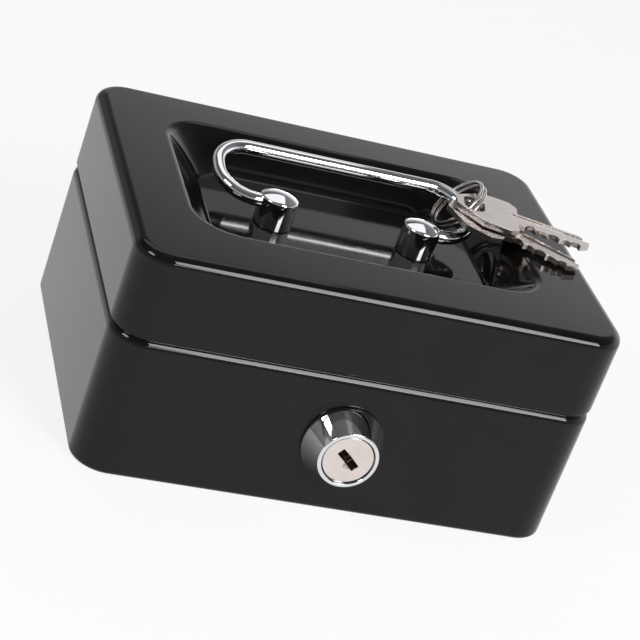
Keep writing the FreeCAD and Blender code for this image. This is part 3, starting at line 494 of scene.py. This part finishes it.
class CASHBOX_OT_posts(bpy.types.Operator):
    """Make the two plated posts with rounded tops"""
    bl_idname = "cashbox.posts"
    bl_label = "Handle posts"

    def execute(self, context):
        s = sizes()
        for side in ("left", "right"):
            node = "handle_post_" + side
            low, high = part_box(node)
            radius = (high.x - low.x) / 2
            tall = high.z - low.z
            ball = (radius ** 2 + s.post_dome ** 2) / (2 * s.post_dome)
            rim = math.degrees(math.acos((radius - s.post_edge) / (ball - s.post_edge)))
            drop = (ball - s.post_edge) * math.sin(math.radians(rim))
            profile = [(0.0, 0.0), (radius - POST_FOOT, 0.0), (radius, POST_FOOT)]
            profile += arc((radius - s.post_edge, tall - ball + drop), s.post_edge, 0, rim, 6)
            profile += arc((0.0, tall - ball), ball, rim, 90, 12)
            middle = Vector(((low.x + high.x) / 2, (low.y + high.y) / 2, low.z))
            post = lathe(node + "_plated", profile, middle)
            add_piece(node + "_plated", post, surface("chrome"), "lid", [node])
        return {"FINISHED"}


class CASHBOX_OT_handle(bpy.types.Operator):
    """Make the bent wire handle along its path"""
    bl_idname = "cashbox.handle"
    bl_label = "Handle"

    def execute(self, context):
        s = sizes()
        pivot = Vector(JOINTS["handle_pivot"]["pos_m"])
        half = BAIL_HIGH.x - s.wire / 2
        bar = Vector((0, BAIL_HIGH.y - s.wire / 2, BAIL_HIGH.z - s.wire / 2)) - pivot
        reach, lean = bar.length, math.atan2(bar.z, bar.y)
        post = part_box("handle_post_right")
        leg_end = post[0].x + (post[1].x - post[0].x) * LEG_SHARE
        right = [(leg_end, 0.0)]
        right += arc((half - s.front_bend, s.front_bend), s.front_bend, 270, 360, 16)
        right += arc((half - s.back_bend, reach - s.back_bend), s.back_bend, 0, 90, 16)
        flat = right + [(-x, y) for x, y in reversed(right)]
        points = [(x, pivot.y + y * math.cos(lean), pivot.z + y * math.sin(lean)) for x, y in flat]
        edges = [(n, n + 1) for n in range(len(points) - 1)]
        mesh = grown("handle_bail_plated", points, edges, wire_tree, surface("chrome"), s.wire / 2)
        add_piece("handle_bail_plated", mesh, surface("chrome"), "handle", ["handle_bail"])
        return {"FINISHED"}


class CASHBOX_OT_lock(bpy.types.Operator):
    """Make the plated lock: the turned housing, the plug and the pieces behind it"""
    bl_idname = "cashbox.lock"
    bl_label = "Lock"

    def execute(self, context):
        s = sizes()
        edge = s.lock_edge
        slope = math.degrees(math.atan2(s.lock_stand - s.lock_rim, (s.lock_base - s.lock_face) / 2))
        lean = 90 - slope
        face, base, seat = s.lock_face / 2, s.lock_base / 2, s.lock_seat / 2
        slack = edge * math.tan(math.radians(slope / 2))
        inner = LOCK_HIGH.y - BASE_LOW.y
        profile = [(s.lock_bore / 2, -inner), (s.lock_barrel / 2, -inner), (s.lock_barrel / 2, 0.0), (base, 0.0)]
        profile += arc((base - edge, s.lock_rim - edge * math.tan(math.radians(lean / 2))), edge, 0, lean, 4)
        profile += arc((face - slack, s.lock_stand - edge), edge, lean, 90, 6)
        profile += arc((seat + edge / 2, s.lock_stand - edge / 2), edge / 2, 90, 180, 4)
        profile += [(seat, s.lock_stand - s.lock_seat_depth), (s.lock_bore / 2, s.lock_stand - s.lock_seat_depth)]
        centre = Vector((0.0, BASE_LOW.y, (LOCK_LOW.z + LOCK_HIGH.z) / 2))
        housing = lathe("lock_housing_plated", profile, centre, LOCK_STEPS, FORWARD)
        add_piece("lock_housing_plated", housing, surface("chrome"), "base", ["lock_housing"])
        plug = softened("lock_plug", PLUG_BREAK, dished=LOCK_FRONT)
        add_piece("lock_plug_plated", plug, surface("plug"), "lock", ["lock_plug"])
        coat_node("lock_wafers", surface("brass"))
        for node, body in (("lock_nut", "base"), ("lock_cam", "lock"), ("lid_strike", "lid")):
            add_piece(node + "_edged", softened(node, PLATE_BREAK), surface("zinc"), body, [node])
        for node in ("cam_washer", "cam_screw"):
            coat_node(node, surface("zinc"))
        return {"FINISHED"}


class CASHBOX_OT_hinge(bpy.types.Operator):
    """Finish the hinge leaves and pin, and set the rivets"""
    bl_idname = "cashbox.hinge"
    bl_label = "Hinge"

    def execute(self, context):
        s = sizes()
        for body in ("base", "lid"):
            leaf = "hinge_leaf_" + body
            add_piece(leaf + "_edged", softened(leaf, PLATE_BREAK), surface("enamel"), body, [leaf])
            node = "hinge_rivets_" + body
            low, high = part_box(node)
            middle_z = (low.z + high.z) / 2
            head = s.rivet / 2
            depths = (high.y - RIVET_SQUAT * head, low.y + RIVET_SQUAT * head)
            places = [(x, y, middle_z) for x in (low.x + head, high.x - head) for y in depths]
            mesh = grown(node + "_domed", places, [], rivet_tree, surface("zinc"), head)
            add_piece(node + "_domed", mesh, surface("zinc"), body, [node])
        coat_node("hinge_pin", surface("zinc"))
        return {"FINISHED"}


class CASHBOX_OT_fixings(bpy.types.Operator):
    """Finish the screws and washers under the recess"""
    bl_idname = "cashbox.fixings"
    bl_label = "Post fixings"

    def execute(self, context):
        for node in ("post_screws", "post_washers"):
            coat_node(node, surface("zinc"))
        return {"FINISHED"}


class CASHBOX_OT_tray(bpy.types.Operator):
    """Make the moulded coin tray with soft edges"""
    bl_idname = "cashbox.tray"
    bl_label = "Coin tray"

    def execute(self, context):
        add_piece("coin_tray_moulded", softened("coin_tray", TRAY_BREAK), surface("plastic"), "tray",
                  ["coin_tray"])
        return {"FINISHED"}


class CASHBOX_OT_keys(bpy.types.Operator):
    """Make the keys with broken edges, and finish their ring"""
    bl_idname = "cashbox.keys"
    bl_label = "Keys"

    def execute(self, context):
        for node, body in (("key_low", "low_key"), ("key_high", "high_key")):
            add_piece(node + "_plated", softened(node, KEY_BREAK), surface("nickel"), body, [node])
        coat_node("key_ring", surface("nickel"))
        return {"FINISHED"}


CAMERA_PLACE = Vector((-0.1760, -0.4585, 0.2663))
CAMERA_TARGET = Vector((-0.0005, -0.0062, 0.0300))
CAMERA_ROLL = math.radians(20.33)
CAMERA_LENS = 118.75
CAMERA_SENSOR = 36.0
CAMERA_NEAR = 0.01

# The room: tones by height, a slight blue, and the side on which it is brighter.
ROOM_TONES = ((0.02, 0.62), (0.35, 0.62), (0.47, 0.24), (0.58, 0.14), (0.8, 0.17), (0.98, 0.22))
ROOM_BLUE = 1.02
ROOM_BRIGHT_SIDE = (0.87, 0.5, 0.0)
ROOM_SIDE_SPAN = (0.4, 0.95)
ROOM_LEVELS = (0.7, 2.2)
# Each lamp has a name, a place, a width and height, and a radiance.
LAMPS = (("front_softbox", (0.36, -0.76, 0.68), (0.37, 0.5), 16.0),
         ("front_strip", (0.35, -0.88, 0.46), (0.55, 0.04), 24.0),
         ("left_lamp", (-0.75, -0.24, 0.65), (0.3, 0.24), 13.0),
         ("back_softbox", (0.0, 0.62, 1.0), (0.8, 0.7), 1.1))
FLOOR_GLOW = 0.85
FLOOR_REACH = 3.0


class CASHBOX_OT_stage(bpy.types.Operator):
    """Set the floor, the lamps, the surroundings and the camera"""
    bl_idname = "cashbox.stage"
    bl_label = "Stage"

    def execute(self, context):
        self.floor()
        self.surroundings()
        self.lamps()
        self.camera()
        context.scene.view_settings.view_transform = "Standard"
        return {"FINISHED"}

    def floor(self):
        """Lay a wide pale floor."""
        mesh = bpy.data.meshes.new("floor")
        far = FLOOR_REACH
        mesh.from_pydata([(-far, -far, 0), (far, -far, 0), (far, far, 0), (-far, far, 0)], [], [(0, 1, 2, 3)])
        floor = bpy.data.objects.new("floor", mesh)
        bpy.context.scene.collection.objects.link(floor)
        pale = surface("floor")
        self.whiten(pale.node_tree)
        mesh.materials.append(pale)

    def whiten(self, tree):
        """Show the floor nearly white to the eye and in reflections, with a light shadow left on it."""
        path = tree.nodes.new("ShaderNodeLightPath")
        seen = path.outputs["Is Camera Ray"]
        for name in ("Is Glossy Ray", "Is Transmission Ray"):
            either = tree.nodes.new("ShaderNodeMath")
            either.operation = "MAXIMUM"
            tree.links.new(seen, either.inputs[0])
            tree.links.new(path.outputs[name], either.inputs[1])
            seen = either.outputs["Value"]
        share = tree.nodes.new("ShaderNodeMath")
        share.operation = "MULTIPLY"
        share.inputs[1].default_value = FLOOR_GLOW
        tree.links.new(seen, share.inputs[0])
        glow = tree.nodes.new("ShaderNodeEmission")
        glow.inputs["Strength"].default_value = 1.0
        blend = tree.nodes.new("ShaderNodeMixShader")
        tree.links.new(share.outputs["Value"], blend.inputs["Fac"])
        tree.links.new(tree.nodes["Principled BSDF"].outputs["BSDF"], blend.inputs[1])
        tree.links.new(glow.outputs["Emission"], blend.inputs[2])
        tree.links.new(blend.outputs["Shader"], tree.nodes["Material Output"].inputs["Surface"])

    def surroundings(self):
        """Set a pale room that fades to a darker ceiling, and is brighter to the right and behind."""
        world = bpy.data.worlds.new("studio")
        bpy.context.scene.world = world
        world.use_nodes = True
        tree = world.node_tree
        place = tree.nodes.new("ShaderNodeTexCoord")
        split = tree.nodes.new("ShaderNodeSeparateXYZ")
        tree.links.new(place.outputs["Generated"], split.inputs["Vector"])
        fade = tree.nodes.new("ShaderNodeValToRGB")
        for spot, tone in ROOM_TONES:
            stop = fade.color_ramp.elements.new(spot)
            stop.color = (tone, tone, ROOM_BLUE * tone, 1.0)
        for stop in (fade.color_ramp.elements[0], fade.color_ramp.elements[-1]):
            stop.color = fade.color_ramp.elements[1].color
        tree.links.new(split.outputs["Z"], fade.inputs["Fac"])
        aside = tree.nodes.new("ShaderNodeVectorMath")
        aside.operation = "DOT_PRODUCT"
        aside.inputs[1].default_value = ROOM_BRIGHT_SIDE
        tree.links.new(place.outputs["Generated"], aside.inputs[0])
        level = tree.nodes.new("ShaderNodeMapRange")
        level.inputs["From Min"].default_value, level.inputs["From Max"].default_value = ROOM_SIDE_SPAN
        level.inputs["To Min"].default_value, level.inputs["To Max"].default_value = ROOM_LEVELS
        tree.links.new(aside.outputs["Value"], level.inputs["Value"])
        tree.links.new(fade.outputs["Color"], tree.nodes["Background"].inputs["Color"])
        tree.links.new(level.outputs["Result"], tree.nodes["Background"].inputs["Strength"])

    def lamps(self):
        """Hang the area lamps, each facing the box."""
        for name, place, size, radiance in LAMPS:
            lamp = bpy.data.lights.new(name, "AREA")
            lamp.shape = "RECTANGLE"
            lamp.size, lamp.size_y = size
            lamp.energy = radiance * math.pi * size[0] * size[1]
            holder = bpy.data.objects.new(name, lamp)
            bpy.context.scene.collection.objects.link(holder)
            holder.location = place
            holder.rotation_euler = (CAMERA_TARGET - Vector(place)).to_track_quat("-Z", "Y").to_euler()

    def camera(self):
        """Stand the camera where the photograph was taken, rolled as it was."""
        lens = bpy.data.cameras.new("camera")
        lens.lens = CAMERA_LENS
        lens.sensor_width = CAMERA_SENSOR
        lens.clip_start = CAMERA_NEAR
        holder = bpy.data.objects.new("camera", lens)
        bpy.context.scene.collection.objects.link(holder)
        aim = (CAMERA_TARGET - CAMERA_PLACE).to_track_quat("-Z", "Y").to_matrix().to_4x4()
        holder.matrix_world = Matrix.Translation(CAMERA_PLACE) @ aim @ Matrix.Rotation(CAMERA_ROLL, 4, "Z")
        bpy.context.scene.camera = holder


STEPS = (CASHBOX_OT_base, CASHBOX_OT_lid, CASHBOX_OT_posts, CASHBOX_OT_handle, CASHBOX_OT_lock, CASHBOX_OT_hinge,
         CASHBOX_OT_fixings, CASHBOX_OT_tray, CASHBOX_OT_keys, CASHBOX_OT_stage)


class CASHBOX_PT_panel(bpy.types.Panel):
    """Lists the pieces of the cash box"""
    bl_idname = "CASHBOX_PT_panel"
    bl_label = "Cash Box"
    bl_space_type = "VIEW_3D"
    bl_region_type = "UI"
    bl_category = "Cash Box"

    def draw(self, context):
        """Show a button for each piece, then the sizes and colours."""
        for step in STEPS:
            self.layout.operator(step.bl_idname)
        for group in (sizes(), colours()):
            for field in group.bl_rna.properties.keys()[2:]:
                self.layout.prop(group, field)


CLASSES = (CashBoxSizes, CashBoxColours) + STEPS + (CASHBOX_PT_panel,)


def register():
    """Add the classes and the two groups of properties."""
    for item in CLASSES:
        bpy.utils.register_class(item)
    bpy.types.Scene.cash_box_sizes = bpy.props.PointerProperty(type=CashBoxSizes)
    bpy.types.Scene.cash_box_colours = bpy.props.PointerProperty(type=CashBoxColours)


def unregister():
    """Take away what register added."""
    del bpy.types.Scene.cash_box_colours
    del bpy.types.Scene.cash_box_sizes
    for item in reversed(CLASSES):
        bpy.utils.unregister_class(item)


def main():
    """Make every piece and the stage."""
    register()
    for step in STEPS:
        group, name = step.bl_idname.split(".")
        getattr(getattr(bpy.ops, group), name)()


if __name__ == "__main__":
    main()
